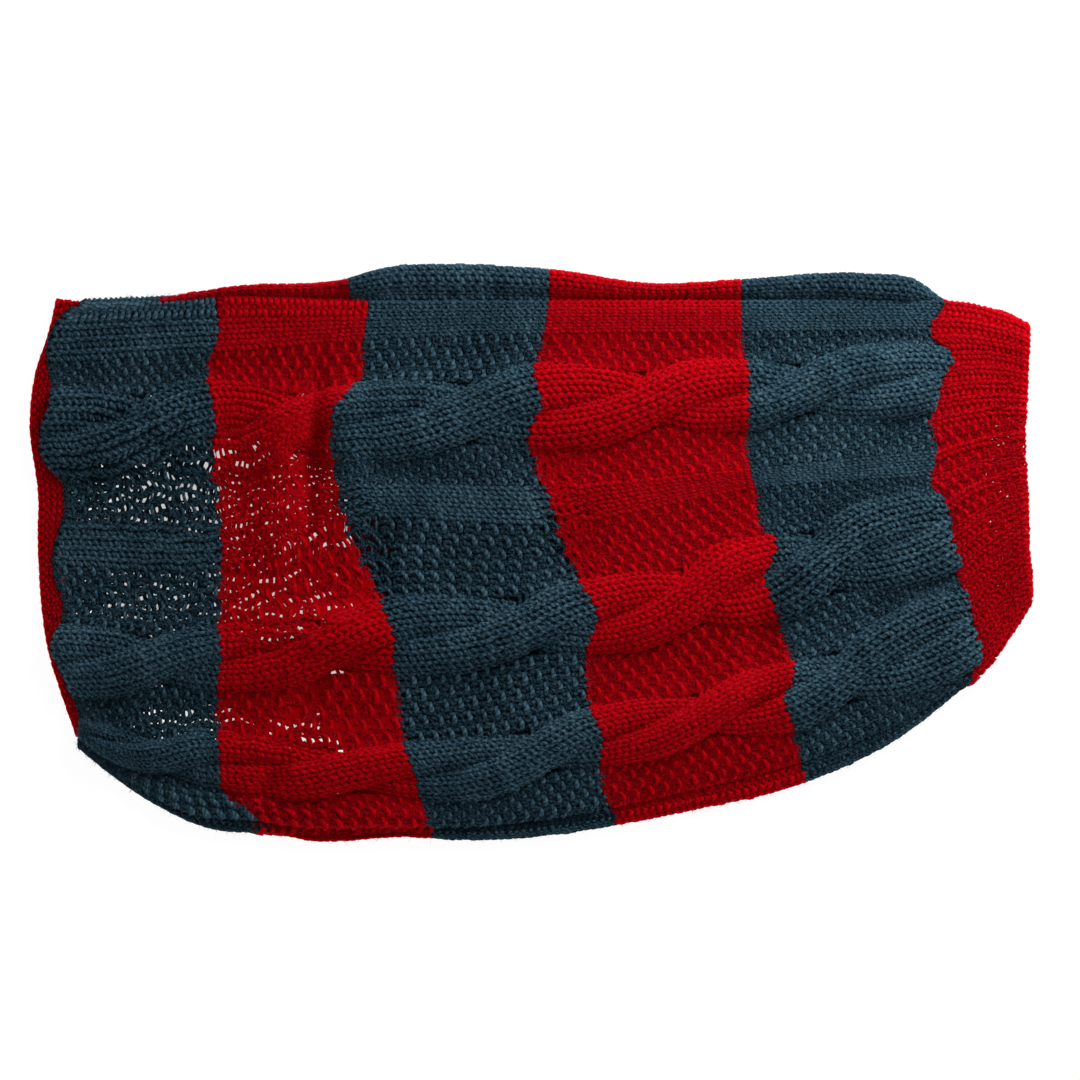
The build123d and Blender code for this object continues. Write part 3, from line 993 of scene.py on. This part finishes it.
def seam(name, line, start, end, height, reach):
    """A whip-stitched seam: yarn wound over and over along a line.

    Its height above the table and its reach to the line's side are each a middle and a swing.
    """
    stitches = int((end - start) / STITCH_SPACING)
    turns = np.arange(stitches * STITCH_POINTS + 1) / STITCH_POINTS
    x = start + (end - start) * turns / stitches
    y = line_y(line, x) + reach[0] + reach[1] * np.sin(2 * np.pi * turns)
    z = height[0] + height[1] * np.cos(2 * np.pi * turns)
    path = np.stack([x, y, z], axis=1)[None]
    normals = np.tile([1.0, 0.0, 0.2], (1, len(x), 1))
    # A depth of 1 sets how far out the seam's yarn lies, for its material's painted shade
    ones = np.ones((1, len(x)))
    obj = tubes(f"{name}_stitches", [(path, normals, ones, ones, STITCH_SIDES)])
    obj.data.materials.append(YARN[TEAL])
    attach(obj, "root")
    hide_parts(name)


seam("side_seam_top", UPPER_TOP, start=-130, end=222, height=(4.0, 1.2), reach=(-3.0, 2.0))
seam("side_seam_bottom", UNDER_BOTTOM, start=-112, end=205, height=(4.4, 1.2), reach=(14.0, 2.2))

# ---------------------------------------------------------------- floor, light and camera


# The floor is a wide flat disc that curves up far away, so that it fills the picture from low angles too.
# Its rings' radii and heights, its sides, and how far it lies below the table's height, in metres
FLOOR_RINGS = [(9.0, 0.0), (10.0, 0.4), (11.0, 1.8), (12.0, 5.0)]
FLOOR_SIDES, FLOOR_DROP = 64, 0.0005
# How strongly it glows, and how strongly in a painted shadow under the object, which is seen through the open
# stitches
OPEN_FLOOR, SHADED_FLOOR = 0.95, 0.56
# The middle and the radius of that painted shadow, in metres, and the share of the radius over which it fades
SHADE_MIDDLE, SHADE_REACH, SHADE_EDGE = (-0.125, -0.005), 0.092, 0.2
# The camera's place, in metres, and its lens and sensor, in millimetres
CAMERA_PLACE, LENS, SENSOR = (0.0046, 0.0061, 2.88), 200, 36


def floor_material():
    """White floor that glows evenly, less in a round painted shadow under the object."""
    material, nodes, links, shader = matt_material("floor", roughness=1.0, specular=0.5)
    shader.inputs["Base Color"].default_value = (0.15, 0.15, 0.15, 1)
    shader.inputs["Emission Color"].default_value = (1, 1, 1, 1)
    material.cycles.emission_sampling = "NONE"
    place = nodes.new("ShaderNodeTexCoord")
    about_middle = nodes.new("ShaderNodeMapping")
    about_middle.inputs["Location"].default_value = (*(-v / SHADE_REACH for v in SHADE_MIDDLE), 0)
    about_middle.inputs["Scale"].default_value = (1 / SHADE_REACH, 1 / SHADE_REACH, 0)
    shaded = nodes.new("ShaderNodeTexGradient")
    shaded.gradient_type = "SPHERICAL"
    strength = nodes.new("ShaderNodeMapRange")
    strength.interpolation_type = "SMOOTHSTEP"
    strength.inputs["From Max"].default_value = SHADE_EDGE
    strength.inputs["To Min"].default_value = OPEN_FLOOR
    strength.inputs["To Max"].default_value = SHADED_FLOOR
    links.new(place.outputs["Object"], about_middle.inputs["Vector"])
    links.new(about_middle.outputs["Vector"], shaded.inputs["Vector"])
    links.new(shaded.outputs["Fac"], strength.inputs["Value"])
    links.new(strength.outputs["Result"], shader.inputs["Emission Strength"])
    return material


def add_floor():
    """The floor: rings of points joined by faces, just under the table's height."""
    angles = np.arange(FLOOR_SIDES) * 2 * np.pi / FLOOR_SIDES
    points = [(r * np.cos(a), r * np.sin(a), z) for r, z in FLOOR_RINGS for a in angles]
    faces = [tuple(range(FLOOR_SIDES))]
    for ring in range(len(FLOOR_RINGS) - 1):
        inner, outer = ring * FLOOR_SIDES, (ring + 1) * FLOOR_SIDES
        for k in range(FLOOR_SIDES):
            after = (k + 1) % FLOOR_SIDES
            faces.append((inner + k, inner + after, outer + after, outer + k))
    mesh = bpy.data.meshes.new("floor")
    mesh.from_pydata(points, [], faces)
    mesh.materials.append(floor_material())
    floor = link("floor", mesh)
    floor.location.z = -FLOOR_DROP


def area_light(name, place, size, power):
    """A round lamp that faces the middle of the object."""
    light = bpy.data.lights.new(name, "AREA")
    light.shape = "DISK"
    light.size = size
    light.energy = power
    obj = link(name, light)
    obj.location = place
    obj.rotation_mode = "QUATERNION"
    obj.rotation_quaternion = (-Vector(place)).to_track_quat("-Z", "Y")


def add_world(strength):
    """Even white light from all round."""
    world = bpy.data.worlds.new("studio")
    world.use_nodes = True
    background = world.node_tree.nodes["Background"]
    background.inputs["Color"].default_value = (1, 1, 1, 1)
    background.inputs["Strength"].default_value = strength
    bpy.context.scene.world = world


def add_camera():
    """The camera, straight above, with a long lens."""
    data = bpy.data.cameras.new("camera")
    data.lens, data.sensor_width = LENS, SENSOR
    camera = link("camera", data)
    camera.location = CAMERA_PLACE
    bpy.context.scene.camera = camera


add_floor()
add_world(strength=0.08)
area_light("key", place=(0.42, 0.48, 0.40), size=0.40, power=4.1)
area_light("fill", place=(0.3, 0.2, 1.8), size=1.2, power=1.3)
add_camera()
bpy.context.scene.view_settings.view_transform = "Standard"
